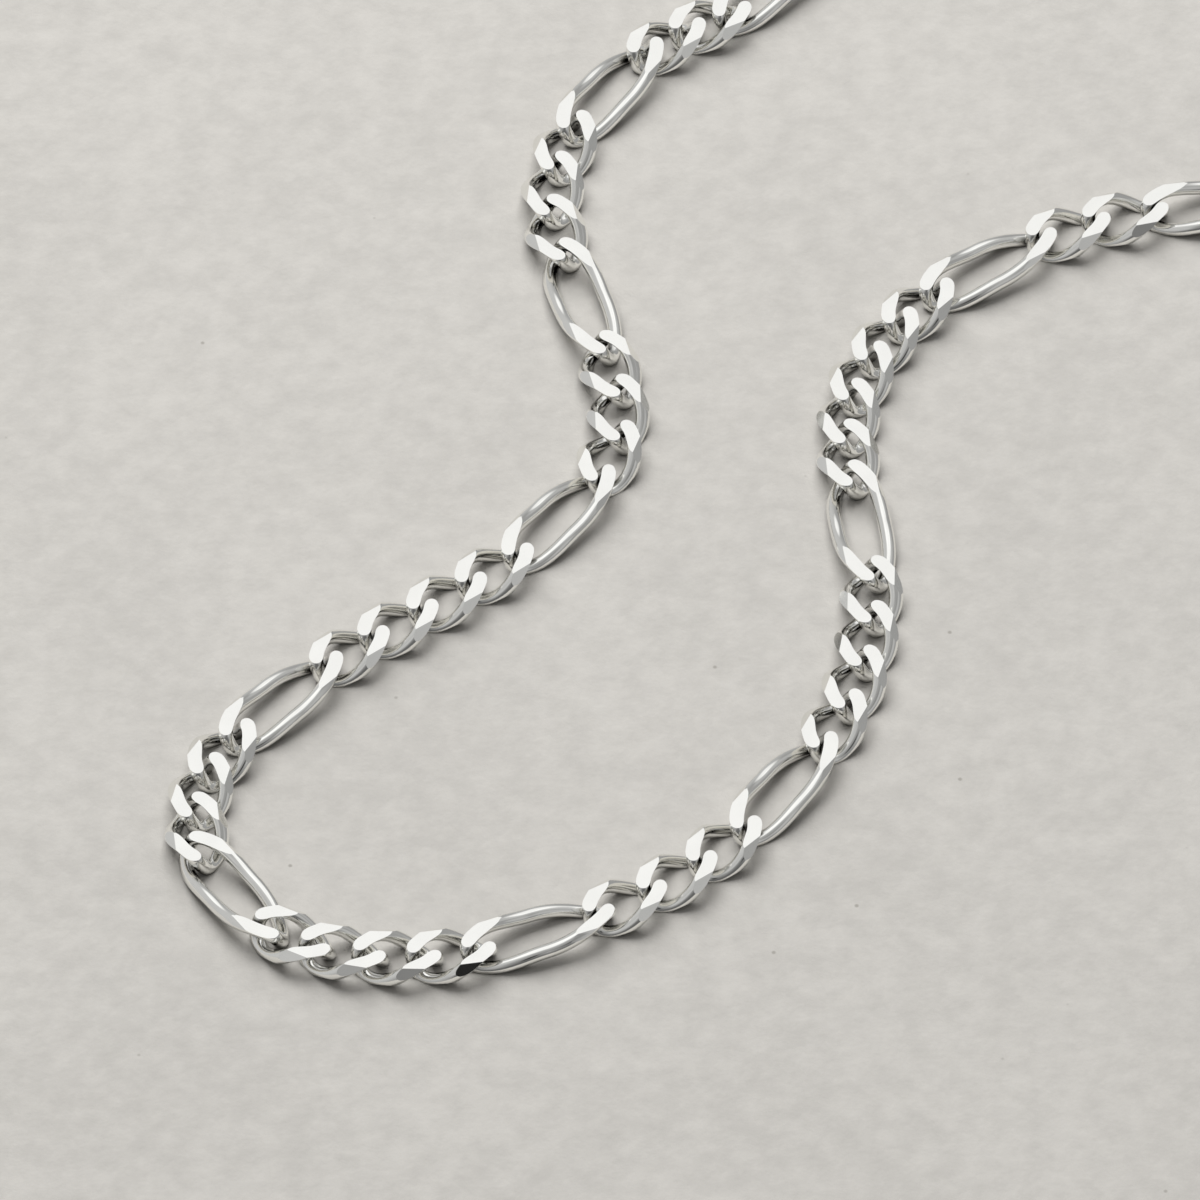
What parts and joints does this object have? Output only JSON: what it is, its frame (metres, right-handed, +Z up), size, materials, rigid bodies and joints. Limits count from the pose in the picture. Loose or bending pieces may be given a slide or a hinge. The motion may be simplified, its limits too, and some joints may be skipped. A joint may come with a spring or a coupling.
{
  "type": "figaro chain necklace",
  "caption": "Closed figaro neck chain of interlocked flat-cut long and short curb links with a plain box clasp, laid down in an S bend.",
  "frame": {"origin": "centre of the laid out loop's box, on the surface that the links rest on", "axes": "+Z up from the surface, +Y away from the viewer of the picture, +X to the viewer's right"},
  "size_m": [0.1524, 0.1652, 0.0028],
  "materials": {
    "polished_silver": "polished silver with flat cut, mirror bright faces"
  },
  "bodies": {
    "root": {"chain_shown": "polished_silver", "chain_plain": "polished_silver", "clasp": "polished_silver"}
  },
  "joints": []
}
